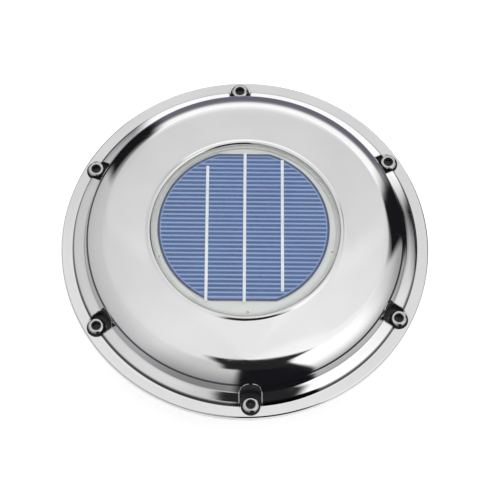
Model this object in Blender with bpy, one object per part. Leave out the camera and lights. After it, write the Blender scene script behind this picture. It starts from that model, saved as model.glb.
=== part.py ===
# Solar attic fan: a round polished roof ventilator with a solar cell in its cover and a fan in its duct.
# The origin is the centre of the roof seat: z = 0 is the roof surface, +Z is up, the duct hangs below.

import math

import bmesh
import bpy
from mathutils import Matrix, Vector

MM = 0.001

# Driving dimensions, in millimetres.
COVER_R = 107.5          # rim of the cover
SKIRT_Z = 8.0            # the skirt's lower edge, which leaves the air gap over the roof
SKIRT_H = 4.3
SHEET = 0.9              # stainless sheet
RISER_R = 101.2          # foot of the small step in the flange
LEDGE_R = 99.6
WALL_R = 93.8            # foot of the dome's wall
CREASE_R = 82.3          # edge of the crowned top
CREASE_Z = 30.8
CROWN_DROP = 0.00115     # the crown falls by this much times the radius squared
WINDOW_R = 54.6
BOLT_R = 100.5
BOLT_ANGLES = [30 + 60 * k for k in range(6)]
POCKET_HALF = 6.5        # half the width of a screw pocket
POCKET_IN_R = 95.0       # centre of the pocket's inner end, a flat arch that cuts the dome's wall
POCKET_IN_REACH = 1.55
POCKET_OUT_R = 100.5     # centre of its outer end, round the screw
POCKET_OUT_REACH = 5.9
POCKET_FLOOR_Z = 12.05   # just under the flange's face
FOOT_TOP_Z = 10.9
SCREW_HEAD_R = 4.75      # button heads of M5 screws
SCREW_HEAD_H = 2.75
WASHER_R = 5.6
WASHER_T = 0.4
WASHER_GAP = 0.15
ROOF_SCREW_R = 77.0
ROOF_SCREW_ANGLES = [60 * k for k in range(6)]
DUCT_R = 58.5
DUCT_WALL = 1.8
DUCT_BOTTOM_Z = -32.0
GASKET_T = 2.0
PLATE_LOW_Z = 2.3
PLATE_TOP_Z = 5.5
PLATE_R = 86.0
DAM_R = 70.0
DAM_TOP_Z = 14.0
ARM_ANGLES = [90, 210, 330]
STUD_ANGLES = [30, 150, 270]
ARM_SCREW_R = 63.0
STUD_R = 61.5
MOTOR_R = 16.0
MOTOR_LOW_Z = -5.7
MOTOR_TOP_Z = 13.3
SHAFT_R = 1.0
SHAFT_END_Z = -25.0
FAN_R = 53.5
FAN_TOP_Z = -11.0
FAN_LOW_Z = -22.5
BLADES = 5
CELL_R = 49.7
CELL_X = -1.0            # the cell lies a little off the window's centre
CELL_Y = 1.5
CELL_TURN = -2.1         # and a little turned, in degrees
CELL_Z = 31.9
RIBBON_PITCH = 21.8
RIBBON_W = 1.7
GAP = 0.3                # between pieces that rest on each other

# How finely round pieces are divided.
RIM_STEPS = 48
DISC_STEPS = 40
MOTOR_STEPS = 28
SMALL_STEPS = 16

STEEL = ((0.80, 0.81, 0.82), 0.12, 1.0)
SCREW_STEEL = ((0.70, 0.71, 0.72), 0.22, 1.0)
WHITE_ABS = ((0.86, 0.87, 0.85), 0.45, 0.0)
BLACK_ABS = ((0.035, 0.035, 0.04), 0.45, 0.0)
BLACK_RUBBER = ((0.02, 0.02, 0.02), 0.85, 0.0)
WHITE_SILICONE = ((0.80, 0.81, 0.78), 0.6, 0.0)
CLEAR_SHEET = ((0.93, 0.95, 0.96), 0.05, 0.0)
CELL_BLUE = ((0.10, 0.17, 0.42), 0.3, 0.0)
TINNED = ((0.82, 0.84, 0.86), 0.35, 1.0)
BRASS = ((0.72, 0.55, 0.25), 0.3, 1.0)
BRONZE = ((0.55, 0.38, 0.22), 0.5, 1.0)
COPPER = ((0.78, 0.40, 0.24), 0.35, 1.0)
FERRITE = ((0.07, 0.07, 0.075), 0.7, 0.0)
LAMINATE = ((0.35, 0.35, 0.36), 0.45, 1.0)
GALVANISED = ((0.62, 0.64, 0.66), 0.3, 1.0)
RED_PVC = ((0.65, 0.03, 0.02), 0.4, 0.0)
BLACK_PVC = ((0.02, 0.02, 0.02), 0.4, 0.0)
GREY_MESH = ((0.30, 0.31, 0.32), 0.5, 0.0)


def clear_scene():
    for obj in list(bpy.data.objects):
        bpy.data.objects.remove(obj, do_unlink=True)


def material(name, look):
    colour, roughness, metallic = look
    made = bpy.data.materials.new(name)
    made.use_nodes = True
    shader = made.node_tree.nodes["Principled BSDF"]
    shader.inputs["Base Color"].default_value = (*colour, 1.0)
    shader.inputs["Roughness"].default_value = roughness
    shader.inputs["Metallic"].default_value = metallic
    return made


def finish(name, bm, look=None, smooth=35):
    """Turns a bmesh in millimetres into an object; without a look it is a hidden helper."""
    bmesh.ops.remove_doubles(bm, verts=bm.verts, dist=0.0005)
    loose = [edge for edge in bm.edges if not edge.link_faces]
    bmesh.ops.delete(bm, geom=loose, context="EDGES")
    bmesh.ops.recalc_face_normals(bm, faces=bm.faces)
    bmesh.ops.scale(bm, vec=(MM, MM, MM), verts=bm.verts)
    mesh = bpy.data.meshes.new(name)
    bm.to_mesh(mesh)
    bm.free()
    mesh.shade_smooth()
    mesh.set_sharp_from_angle(angle=math.radians(smooth))
    obj = bpy.data.objects.new(name, mesh)
    bpy.context.scene.collection.objects.link(obj)
    if look is None:
        obj.hide_render = True
        obj.display_type = "WIRE"
    else:
        mesh.materials.append(material(name, look))
    return obj


def boolean(obj, other, operation="DIFFERENCE"):
    modifier = obj.modifiers.new(operation.title() + " " + other.name, "BOOLEAN")
    modifier.operation = operation
    modifier.solver = "EXACT"
    modifier.object = other


def place(angle, radius, x=0.0, y=0.0):
    """A point given beside a spot on a circle: x points outwards there, y along the circle."""
    turn = math.radians(angle)
    out = radius + x
    return (out * math.cos(turn) - y * math.sin(turn), out * math.sin(turn) + y * math.cos(turn))


def turned(name, outline, segments, look=None, centre=(0.0, 0.0), smooth=35):
    """Spins a closed outline of (radius, z) points about the vertical line through centre."""
    bm = bmesh.new()
    verts = [bm.verts.new((centre[0] + r, centre[1], z)) for r, z in outline]
    edges = [bm.edges.new((verts[i - 1], verts[i])) for i in range(len(verts))]
    bmesh.ops.spin(
        bm,
        geom=verts + edges,
        cent=(*centre, 0),
        axis=(0, 0, 1),
        angle=math.tau,
        steps=segments,
        use_merge=True,
    )
    return finish(name, bm, look, smooth)


def add_prism(bm, outline, low, high):
    """Raises a flat outline of (x, y) points from z = low to z = high."""
    face = bm.faces.new([bm.verts.new((x, y, low)) for x, y in outline])
    raised = bmesh.ops.extrude_face_region(bm, geom=[face])
    tops = [item for item in raised["geom"] if isinstance(item, bmesh.types.BMVert)]
    bmesh.ops.translate(bm, vec=(0, 0, high - low), verts=tops)


def prism(name, outlines, low, high, look=None):
    bm = bmesh.new()
    for outline in outlines:
        add_prism(bm, outline, low, high)
    return finish(name, bm, look)


def circle(centre, radius, count):
    steps = [math.tau * k / count for k in range(count)]
    return [(centre[0] + radius * math.cos(t), centre[1] + radius * math.sin(t)) for t in steps]


def rectangle(angle, inner, outer, half_width):
    return [
        place(angle, 0, inner, -half_width),
        place(angle, 0, outer, -half_width),
        place(angle, 0, outer, half_width),
        place(angle, 0, inner, half_width),
    ]


def bezier(start, lead_out, lead_in, end, count):
    """Points along a cubic curve, without its first one."""
    points = []
    for k in range(1, count + 1):
        t = k / count
        weights = ((1 - t) ** 3, 3 * t * (1 - t) ** 2, 3 * t * t * (1 - t), t**3)
        corners = (start, lead_out, lead_in, end)
        points.append(tuple(sum(w * c[i] for w, c in zip(weights, corners)) for i in range(2)))
    return points


def crown_z(radius):
    return CREASE_Z + CROWN_DROP * (CREASE_R**2 - radius**2)


def cover_outline():
    """The cover's outer face, from the skirt's lower edge to the window's rolled lip."""
    skirt_top = SKIRT_Z + SKIRT_H
    step = skirt_top + 2.8
    points = [(COVER_R, SKIRT_Z), (COVER_R, skirt_top - 0.8)]
    corner = (COVER_R - 0.9, skirt_top)
    points += bezier(points[-1], (COVER_R, skirt_top - 0.3), (COVER_R - 0.3, skirt_top), corner, 2)
    points += [(RISER_R, skirt_top + 0.25), (RISER_R - 0.4, skirt_top + 0.45), (LEDGE_R + 0.3, step - 0.1)]
    points += [(LEDGE_R - 0.3, step + 0.3), (WALL_R + 0.8, step + 1.8)]
    points += [(WALL_R + 0.1, step + 2.3), (WALL_R - 0.2, step + 3.3)]
    wall_top = (WALL_R - 0.9, SKIRT_Z + 14.2)
    points += [wall_top]
    points += bezier(wall_top, (92.15, 26.3), (88.6, 28.6), (CREASE_R, CREASE_Z), 5)
    points += [(r, crown_z(r)) for r in (70.0, 57.4)]
    points += [(56.4, crown_z(56.4) + 0.25), (55.4, crown_z(56.4) + 0.15), (WINDOW_R, crown_z(56.4) - 0.6)]
    return points


def inset_outline(points, depth):
    """The same line moved inwards by the sheet's thickness."""
    moved = []
    for i, here in enumerate(points):
        before = Vector(points[max(i - 1, 0)])
        after = Vector(points[min(i + 1, len(points) - 1)])
        along = (after - before).normalized()
        moved.append((here[0] + along.y * -depth, here[1] + along.x * depth))
    return moved


def pocket_outline(angle, grow):
    """A screw pocket seen from above: straight sides, round the screw outside and a flat arch inside."""
    half = POCKET_HALF + grow
    points = []
    for centre, start, reach in ((POCKET_OUT_R, -90, POCKET_OUT_REACH), (POCKET_IN_R, 90, POCKET_IN_REACH)):
        for k in range(9):
            t = math.radians(start + 180 * k / 8)
            points.append(place(angle, centre, (reach + grow) * math.cos(t), half * math.sin(t)))
    return points


def build_cover():
    outer = cover_outline()
    low = SKIRT_Z
    lip_low = 33.0
    shell = turned("cover_shell", outer + [(WINDOW_R, low)], RIM_STEPS, STEEL, smooth=20)
    inner = [(COVER_R - SHEET, low - 1.0), (COVER_R - SHEET, SKIRT_Z + SKIRT_H - SHEET)]
    inner += inset_outline(outer[4:-3], SHEET)
    inner += [(WINDOW_R + SHEET, inner[-1][1]), (WINDOW_R + SHEET, lip_low)]
    inner += [(WINDOW_R - 2.0, lip_low), (WINDOW_R - 2.0, low - 1.0)]
    hollow = turned("cover_hollow", inner, RIM_STEPS)
    pockets = prism("pocket_space", [pocket_outline(a, 0) for a in BOLT_ANGLES], POCKET_FLOOR_Z, 40)
    walls = [pocket_outline(a, SHEET) for a in BOLT_ANGLES]
    pocket_metal = prism("pocket_metal", walls, POCKET_FLOOR_Z - SHEET, 41)
    holes = prism("screw_holes", [circle(place(a, BOLT_R), 2.8, 12) for a in BOLT_ANGLES], 5, 12.5)
    studs = prism("weld_studs", [circle(place(a, STUD_R), 1.5, 12) for a in STUD_ANGLES], 27.2, 33.9)
    boolean(hollow, pocket_metal)
    boolean(shell, pockets)
    boolean(shell, hollow)
    boolean(shell, holes)
    boolean(shell, studs, "UNION")


def build_cover_fixings():
    """Socket screws, their washers and the threaded inserts in the base's feet."""
    washer_low = POCKET_FLOOR_Z + WASHER_GAP
    washer_high = washer_low + WASHER_T
    under_head = washer_high + WASHER_GAP
    head_top = under_head + SCREW_HEAD_H
    screw = [(0, head_top), (SCREW_HEAD_R - 0.5, head_top), (SCREW_HEAD_R, head_top - 0.5)]
    screw += [(SCREW_HEAD_R, under_head), (2.4, under_head), (2.4, under_head - 7.6)]
    screw += [(1.9, under_head - 8.1), (0, under_head - 8.1)]
    washer = [(2.7, washer_high), (WASHER_R, washer_high), (WASHER_R, washer_low), (2.7, washer_low)]
    insert = [(2.6, FOOT_TOP_Z - GAP), (3.2, FOOT_TOP_Z - GAP), (3.2, 4.4), (2.6, 4.4)]
    sockets = [circle(place(a, BOLT_R), 2.31, 6) for a in BOLT_ANGLES]
    socket = prism("hex_sockets", sockets, under_head + 0.7, under_head + 7)
    for number, angle in enumerate(BOLT_ANGLES, 1):
        spot = place(angle, BOLT_R)
        head = turned(f"cover_screw_{number}", screw, SMALL_STEPS, SCREW_STEEL, spot)
        boolean(head, socket)
        turned(f"screw_washer_{number}", washer, SMALL_STEPS, BLACK_RUBBER, spot)
        turned(f"threaded_insert_{number}", insert, SMALL_STEPS, BRASS, spot)


def build_base():
    """The white moulding: duct, plate, rain dam, and arms that end in the cover's feet."""
    bore = DUCT_R - DUCT_WALL
    outline = [(bore, DUCT_BOTTOM_Z), (DUCT_R, DUCT_BOTTOM_Z), (DUCT_R, PLATE_LOW_Z), (PLATE_R, PLATE_LOW_Z)]
    outline += [(PLATE_R, PLATE_TOP_Z + 2), (PLATE_R - 1.6, PLATE_TOP_Z + 2), (PLATE_R - 1.6, PLATE_TOP_Z)]
    outline += [(DAM_R, PLATE_TOP_Z), (DAM_R, DAM_TOP_Z), (DAM_R - 1.6, DAM_TOP_Z), (DAM_R - 1.6, PLATE_TOP_Z)]
    outline += [(bore, PLATE_TOP_Z)]
    base = turned("base_plate", outline, RIM_STEPS, WHITE_ABS)
    arms = prism("foot_arms", [rectangle(a, PLATE_R - 4, BOLT_R, 3.2) for a in BOLT_ANGLES], 2.7, 5.1)
    feet = prism("feet", [circle(place(a, BOLT_R), 4.6, SMALL_STEPS) for a in BOLT_ANGLES], 0.0, FOOT_TOP_Z)
    boolean(base, arms, "UNION")
    boolean(base, feet, "UNION")
    insert_holes = [circle(place(a, BOLT_R), 3.5, SMALL_STEPS) for a in BOLT_ANGLES]
    roof_holes = [circle(place(a, ROOF_SCREW_R), 2.2, 12) for a in ROOF_SCREW_ANGLES]
    arm_holes = [circle(place(a, ARM_SCREW_R), 1.5, 12) for a in ARM_ANGLES]
    boolean(base, prism("insert_holes", insert_holes, 4.1, 20))
    boolean(base, prism("plate_holes", roof_holes + arm_holes, -1, 12))
    gasket = [(59.0, 0.0), (84.0, 0.0), (84.0, GASKET_T), (59.0, GASKET_T)]
    seal = turned("deck_gasket", gasket, DISC_STEPS, BLACK_RUBBER)
    seal_holes = [circle(place(a, ROOF_SCREW_R), 2.5, 12) for a in ROOF_SCREW_ANGLES]
    boolean(seal, prism("gasket_holes", seal_holes, -1, 4))


def build_bracket():
    """A cup for the motor on three arms, screwed down inside the rain dam."""
    low = PLATE_TOP_Z + GAP
    cup = [(3.6, -8.2), (18.0, -8.2), (18.0, low + 2.2), (16.4, low + 2.2), (16.4, -6.0), (3.6, -6.0)]
    bracket = turned("motor_bracket", cup, MOTOR_STEPS, BLACK_ABS)
    bars = [rectangle(a, 17.2, ARM_SCREW_R - 1, 3.4) for a in ARM_ANGLES]
    arms = prism("bracket_arms", bars, low + 0.2, low + 2.0)
    lug_rings = [circle(place(a, ARM_SCREW_R), 4.6, SMALL_STEPS) for a in ARM_ANGLES]
    lugs = prism("bracket_lugs", lug_rings, low, low + 2.4)
    boolean(bracket, arms, "UNION")
    boolean(bracket, lugs, "UNION")
    holes = [circle(place(a, ARM_SCREW_R), 1.7, 12) for a in ARM_ANGLES]
    boolean(bracket, prism("bracket_holes", holes, 0, 12))
    motor_holes = [circle((x, 0), 1.35, 12) for x in (-8.0, 8.0)]
    boolean(bracket, prism("bracket_motor_holes", motor_holes, -12, -4.5))
    head = low + 2.4 + GAP
    screw = [(0, head + 1.9), (1.6, head + 1.9), (2.7, head + 1.2), (2.8, head), (1.2, head)]
    screw += [(1.2, 3.2), (0, 2.5)]
    along = [rectangle(a, ARM_SCREW_R - 1.7, ARM_SCREW_R + 1.7, 0.35) for a in ARM_ANGLES]
    across = [rectangle(a, ARM_SCREW_R - 0.35, ARM_SCREW_R + 0.35, 1.7) for a in ARM_ANGLES]
    slot_bars = prism("cross_slots_along", along, head + 1.0, head + 4)
    cross_bars = prism("cross_slots_across", across, head + 1.0, head + 4)
    for number, angle in enumerate(ARM_ANGLES, 1):
        made = turned(f"bracket_screw_{number}", screw, SMALL_STEPS, GALVANISED, place(angle, ARM_SCREW_R))
        boolean(made, slot_bars)
        boolean(made, cross_bars)


def build_motor():
    low, high = MOTOR_LOW_Z, MOTOR_TOP_Z
    wall = MOTOR_R - 0.9
    can = [(3.1, low), (MOTOR_R - 0.6, low), (MOTOR_R, low + 0.6), (MOTOR_R, high - 1.3)]
    can += [(wall, high - 1.3), (wall, low + 0.9), (3.1, low + 0.9)]
    shell = turned("motor_can", can, MOTOR_STEPS, GALVANISED)
    boolean(shell, prism("can_holes", [circle((x, 0), 1.35, 12) for x in (-8.0, 8.0)], low - 2, low + 2))
    cap = [(0, high), (15.2, high), (MOTOR_R, high - 0.4), (MOTOR_R, high - 1.0), (14.7, high - 1.0)]
    cap += [(14.7, high - 2.8), (2.9, high - 2.8), (2.9, high - 0.9), (0, high - 0.9)]
    end_cap = turned("motor_end_cap", cap, MOTOR_STEPS, WHITE_ABS)
    slots = [[(x - 0.6, -1.5), (x + 0.6, -1.5), (x + 0.6, 1.5), (x - 0.6, 1.5)] for x in (-9.0, 9.0)]
    boolean(end_cap, prism("terminal_slots", slots, 5, 20))
    for name, x in (("terminal_positive", 9.0), ("terminal_negative", -9.0)):
        tab = [(x - 0.25, -1.1), (x + 0.25, -1.1), (x + 0.25, 1.1), (x - 0.25, 1.1)]
        prism(name, [tab], high - 3.6, high + 3.2, TINNED)
    bore = SHAFT_R + 0.08
    lower = [(bore, low + 0.2), (2.8, low + 0.2), (2.8, low + 3.2), (bore, low + 3.2)]
    turned("bearing_lower", lower, SMALL_STEPS, BRONZE)
    upper = [(bore, high - 3.3), (2.6, high - 3.3), (2.6, high - 1.2), (bore, high - 1.2)]
    turned("bearing_upper", upper, SMALL_STEPS, BRONZE)
    for name, middle in (("magnet_left", 180), ("magnet_right", 0)):
        arc = [math.radians(middle - 68 + 136 * k / 12) for k in range(13)]
        outline = [(14.7 * math.cos(t), 14.7 * math.sin(t)) for t in arc]
        outline += [(11.8 * math.cos(t), 11.8 * math.sin(t)) for t in reversed(arc)]
        prism(name, [outline], -3.0, 9.2, FERRITE)
    screw = [(0, -10.0), (1.9, -10.0), (2.2, -9.6), (2.2, -8.5), (1.1, -8.5), (1.1, -3.8), (0, -3.8)]
    for number, x in enumerate((-8.0, 8.0), 1):
        turned(f"motor_screw_{number}", screw, 12, GALVANISED, (x, 0))


def pole_outline():
    """Three T-shaped poles around a hub, as the armature's sheets are stamped."""
    points = []
    for angle in ARM_ANGLES:
        points += [place(angle, 0, 3.4, -1.3), place(angle, 0, 8.4, -1.3)]
        spread = [math.radians(-46 + 92 * k / 8) for k in range(9)]
        points.append((8.6 * math.cos(math.radians(angle - 46)), 8.6 * math.sin(math.radians(angle - 46))))
        for t in spread:
            turn = math.radians(angle) + t
            points.append((11.0 * math.cos(turn), 11.0 * math.sin(turn)))
        points.append((8.6 * math.cos(math.radians(angle + 46)), 8.6 * math.sin(math.radians(angle + 46))))
        points += [place(angle, 0, 8.4, 1.3), place(angle, 0, 3.4, 1.3)]
    return points


def build_rotor():
    shaft = [(0, 11.9), (0.8, 11.9), (SHAFT_R, 11.7), (SHAFT_R, SHAFT_END_Z + 0.2), (0.8, SHAFT_END_Z)]
    shaft += [(0, SHAFT_END_Z)]
    turned("motor_shaft", shaft, SMALL_STEPS, SCREW_STEEL)
    bore = prism("rotor_bore", [circle((0, 0), SHAFT_R + 0.08, SMALL_STEPS)], -40, 30)
    core = prism("armature_core", [pole_outline()], -1.0, 6.6, LAMINATE)
    boolean(core, bore)
    for number, angle in enumerate(ARM_ANGLES, 1):
        coil = prism(f"winding_{number}", [rectangle(angle, 4.6, 7.2, 2.8)], -2.6, 8.2, COPPER)
        boolean(coil, prism(f"coil_core_{number}", [rectangle(angle, 3.0, 9.0, 1.6)], -1.3, 6.9))
    ring = [(SHAFT_R + 0.08, 8.5), (3.2, 8.5), (3.2, 9.9), (SHAFT_R + 0.08, 9.9)]
    turned("commutator", ring, SMALL_STEPS, COPPER)
    high, low = FAN_LOW_Z - GAP, FAN_LOW_Z - GAP - 1.6
    collar = [(SHAFT_R + 0.08, high), (3.0, high), (3.0, low + 0.6), (2.4, low), (SHAFT_R + 0.08, low)]
    turned("fan_collar", collar, SMALL_STEPS, BRASS)


def build_impeller():
    """Five swept blades on a hub that is open below."""
    top, low = FAN_TOP_Z, FAN_LOW_Z
    hub = [(SHAFT_R + 0.08, top - 0.3), (9.6, top - 0.3), (11.0, top - 1.2), (11.5, top - 2.6), (11.5, low)]
    hub += [(10.2, low), (10.2, top - 2.6), (3.0, top - 2.0), (3.0, low), (SHAFT_R + 0.08, low)]
    fan = turned("fan_impeller", hub, MOTOR_STEPS, BLACK_ABS)
    bm = bmesh.new()
    rings, chords = 6, 4
    middle = (top + low) / 2 - 0.3
    for blade in range(BLADES):
        rows = []
        for i in range(rings):
            share = i / (rings - 1)
            radius = 10.9 + (FAN_R - 10.9) * share
            span = 24 - 8 * share
            row = []
            for j in range(chords):
                across = 2 * j / (chords - 1) - 1
                turn = math.radians(360 / BLADES * blade + 14 * share + span * across)
                height = middle - 4.6 * across + 1.1 * (1 - across * across)
                row.append(bm.verts.new((radius * math.cos(turn), radius * math.sin(turn), height)))
            rows.append(row)
        for i in range(rings - 1):
            for j in range(chords - 1):
                bm.faces.new((rows[i][j], rows[i + 1][j], rows[i + 1][j + 1], rows[i][j + 1]))
    blades = finish("fan_blades", bm)
    wall = blades.modifiers.new("Blade thickness", "SOLIDIFY")
    wall.thickness = 1.3 * MM
    wall.offset = 0.0
    boolean(fan, blades, "UNION")


def cell_outline():
    """A disc with one chord cut off above and a longer one below, turned and set off the centre."""
    top, bottom = 47.4, -45.9
    points = []
    first, last = math.asin(bottom / CELL_R), math.asin(top / CELL_R)
    for side in (1, -1):
        for k in range(17):
            t = first + (last - first) * (k if side > 0 else 16 - k) / 16
            points.append((side * CELL_R * math.cos(t), CELL_R * math.sin(t)))
    turn = Matrix.Rotation(math.radians(CELL_TURN), 2)
    return [tuple(turn @ Vector(p) + Vector((CELL_X, CELL_Y))) for p in points]


def build_panel():
    """The window's stack from below: tray, backing, cell, ribbons, seal and clear sheet."""
    tray = [(0, 28.5), (56.6, 28.5), (57.0, 28.9), (57.0, 30.4), (66.0, 30.4), (66.0, 31.9)]
    tray += [(54.4, 31.9), (54.4, 30.0), (0, 30.0)]
    holder = turned("panel_tray", tray, DISC_STEPS, WHITE_ABS)
    lead_holes = [circle(spot, 1.2, 12) for spot in ((7.0, 9.0), (-7.0, -9.0))]
    stud_holes = [circle(place(a, STUD_R), 1.9, 12) for a in STUD_ANGLES]
    boolean(holder, prism("tray_holes", lead_holes + stud_holes, 20, 40))
    slab = [(0, 30.3), (53.9, 30.3), (53.9, 31.6), (0, 31.6)]
    backing = turned("cell_backing", slab, DISC_STEPS, WHITE_SILICONE)
    boolean(backing, prism("backing_holes", lead_holes, 20, 40))
    prism("solar_cell", [cell_outline()], CELL_Z, CELL_Z + 0.2, CELL_BLUE)
    turn = Matrix.Rotation(math.radians(CELL_TURN), 2)
    ribbons = (("left", -1, -46.6, 39.4), ("centre", 0, -47.2, 48.1), ("right", 1, -40.0, 43.6))
    for side, step, low, high in ribbons:
        left = step * RIBBON_PITCH + 0.6 - RIBBON_W / 2
        right = left + RIBBON_W
        strip = [(left, low), (right, low), (right, high), (left, high)]
        strip = [tuple(turn @ Vector(p) + Vector((CELL_X, CELL_Y))) for p in strip]
        prism(f"cell_ribbon_{side}", [strip], CELL_Z + 0.35, CELL_Z + 0.5, TINNED)
    seal = [(52.5, 32.2), (59.6, 32.2), (59.6, 33.2), (56.0, 33.2), (56.0, 32.7), (52.5, 32.7)]
    turned("window_seal", seal, DISC_STEPS, WHITE_SILICONE)
    lens = [(0, 33.0), (54.2, 33.0), (54.2, 34.1), (53.8, 34.5), (0, 34.5)]
    turned("window_lens", lens, DISC_STEPS, CLEAR_SHEET)
    for number, angle in enumerate(STUD_ANGLES, 1):
        spot = place(angle, STUD_R)
        nut = prism(f"tray_nut_{number}", [circle(spot, 3.18, 6)], 27.9, 30.1, GALVANISED)
        boolean(nut, prism(f"nut_bore_{number}", [circle(spot, 1.75, 12)], 20, 40))


def lead(name, points, look):
    """A thin wire along a smooth curve through its route's points."""
    knots = [Vector(points[0])] + [Vector(p) for p in points] + [Vector(points[-1])]
    path = []
    for i in range(1, len(knots) - 2):
        a, b, c, d = knots[i - 1 : i + 3]
        for k in range(3):
            t = k / 3
            curved = (2 * a - 5 * b + 4 * c - d) * t * t + (3 * b - a - 3 * c + d) * t**3
            path.append(0.5 * (2 * b + (c - a) * t + curved))
    path.append(knots[-1])
    data = bpy.data.curves.new(name, "CURVE")
    data.dimensions = "3D"
    data.bevel_depth = 0.7 * MM
    data.bevel_resolution = 2
    data.use_fill_caps = True
    spline = data.splines.new("POLY")
    spline.points.add(len(path) - 1)
    for point, spot in zip(spline.points, path):
        point.co = (*(spot * MM), 1.0)
    data.materials.append(material(name, look))
    obj = bpy.data.objects.new(name, data)
    bpy.context.scene.collection.objects.link(obj)


def build_leads():
    route = [(9.0, 0.0, 16.9), (9.3, 0.4, 18.6), (12.0, 3.0, 20.6), (13.2, 7.0, 22.4), (10.6, 10.0, 24.4)]
    route += [(7.6, 9.6, 26.6), (7.0, 9.0, 28.6), (7.0, 9.0, 31.4)]
    lead("lead_red", route, RED_PVC)
    lead("lead_black", [(-x, -y, z) for x, y, z in route], BLACK_PVC)


def build_screen():
    """An insect screen in a frame that snaps into the duct's lower end."""
    low = DUCT_BOTTOM_Z
    frame = [(56.2, low + 3.6), (56.2, low - GAP), (61.0, low - GAP), (61.0, low - 1.4)]
    frame += [(60.6, low - 1.8), (51.5, low - 1.8), (51.5, low), (54.2, low), (54.2, low + 3.6)]
    turned("screen_frame", frame, DISC_STEPS, WHITE_ABS)
    sheet = [(0, low + 0.3), (53.9, low + 0.3), (53.9, low + 0.9), (0, low + 0.9)]
    disc = turned("insect_screen", sheet, DISC_STEPS, GREY_MESH)
    slots = []
    for ring in range(3):
        inner, outer = 6.0 + 15.2 * ring, 20.0 + 15.2 * ring
        count = 8 if ring == 0 else 12
        for k in range(count):
            middle, half = math.tau * k / count, math.pi / count
            rim = []
            for radius, sides in ((inner, (-1, 1)), (outer, (1, 0, -1))):
                slack = half - 0.7 / radius
                turns = [middle + side * slack for side in sides]
                rim += [(radius * math.cos(t), radius * math.sin(t)) for t in turns]
            slots.append(rim)
    boolean(disc, prism("screen_slots", slots, low - 2, low + 3))


clear_scene()
build_cover()
build_cover_fixings()
build_base()
build_bracket()
build_motor()
build_rotor()
build_impeller()
build_panel()
build_leads()
build_screen()
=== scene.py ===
import math

import bmesh
import bpy
from mathutils import Matrix, Vector


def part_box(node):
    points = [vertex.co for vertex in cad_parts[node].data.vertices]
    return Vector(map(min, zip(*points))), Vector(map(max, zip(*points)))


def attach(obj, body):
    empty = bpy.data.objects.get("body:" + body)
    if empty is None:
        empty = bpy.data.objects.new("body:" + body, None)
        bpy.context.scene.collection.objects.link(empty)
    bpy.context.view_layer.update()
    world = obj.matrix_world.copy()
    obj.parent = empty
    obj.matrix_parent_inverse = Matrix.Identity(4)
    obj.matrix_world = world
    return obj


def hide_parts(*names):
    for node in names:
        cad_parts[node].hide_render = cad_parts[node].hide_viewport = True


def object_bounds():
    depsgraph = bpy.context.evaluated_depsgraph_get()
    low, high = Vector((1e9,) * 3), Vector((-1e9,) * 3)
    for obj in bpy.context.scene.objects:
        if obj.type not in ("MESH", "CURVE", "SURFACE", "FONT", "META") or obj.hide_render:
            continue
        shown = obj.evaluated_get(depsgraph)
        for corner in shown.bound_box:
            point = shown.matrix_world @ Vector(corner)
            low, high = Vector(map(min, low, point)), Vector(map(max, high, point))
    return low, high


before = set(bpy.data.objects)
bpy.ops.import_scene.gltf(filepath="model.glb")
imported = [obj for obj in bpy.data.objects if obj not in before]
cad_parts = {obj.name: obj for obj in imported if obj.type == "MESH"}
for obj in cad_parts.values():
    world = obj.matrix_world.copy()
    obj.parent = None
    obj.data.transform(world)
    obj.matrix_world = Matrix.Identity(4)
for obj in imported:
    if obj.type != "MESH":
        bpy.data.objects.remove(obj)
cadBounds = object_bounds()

# Solar attic fan: polished roof cover over a small fan, with a solar cell in its window.
# Shapes are worked out in millimetres and scaled once, when a piece is finished.

mm = 0.001
scene = bpy.context.scene
steps = {"rim": 288, "disc": 192, "motor": 96, "small": 48}


def boxOf(node):
    low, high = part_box(node)
    return low / mm, high / mm


def spotAt(angle, radius, out=0.0, side=0.0):
    turn = math.radians(angle)
    far = radius + out
    return (far * math.cos(turn) - side * math.sin(turn), far * math.sin(turn) + side * math.cos(turn))


def curveTo(start, first, second, end, count):
    points = []
    for k in range(1, count + 1):
        t = k / count
        weights = ((1 - t) ** 3, 3 * t * (1 - t) ** 2, 3 * t * t * (1 - t), t ** 3)
        corners = (start, first, second, end)
        points.append(tuple(sum(w * c[i] for w, c in zip(weights, corners)) for i in (0, 1)))
    return points


def roundCorners(outline, radius, count=3):
    # eases each corner of a closed outline, but leaves points on the turning axis alone
    eased = []
    for i, here in enumerate(outline):
        before, after = Vector(outline[i - 1]), Vector(outline[(i + 1) % len(outline)])
        corner = Vector(here)
        if here[0] < 1e-6:
            eased.append(here)
            continue
        toward, onward = before - corner, after - corner
        reach = min(radius, toward.length * 0.45, onward.length * 0.45)
        first = corner + toward.normalized() * reach
        last = corner + onward.normalized() * reach
        eased.append(tuple(first))
        eased += curveTo(first, first.lerp(corner, 0.6), last.lerp(corner, 0.6), last, count)
    return eased


def band(inner, outer, low, high, soft):
    return roundCorners([(inner, low), (outer, low), (outer, high), (inner, high)], soft)


def addSpun(bm, outline, count, centre=(0.0, 0.0)):
    verts = [bm.verts.new((centre[0] + r, centre[1], z)) for r, z in outline]
    edges = [bm.edges.new((verts[i - 1], verts[i])) for i in range(len(verts))]
    bmesh.ops.spin(bm, geom=verts + edges, cent=(*centre, 0), axis=(0, 0, 1),
                   angle=math.tau, steps=count, use_merge=True)


def addRaised(bm, outline, low, high):
    face = bm.faces.new([bm.verts.new((x, y, low)) for x, y in outline])
    raised = bmesh.ops.extrude_face_region(bm, geom=[face])
    tops = [item for item in raised["geom"] if isinstance(item, bmesh.types.BMVert)]
    bmesh.ops.translate(bm, vec=(0, 0, high - low), verts=tops)


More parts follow.
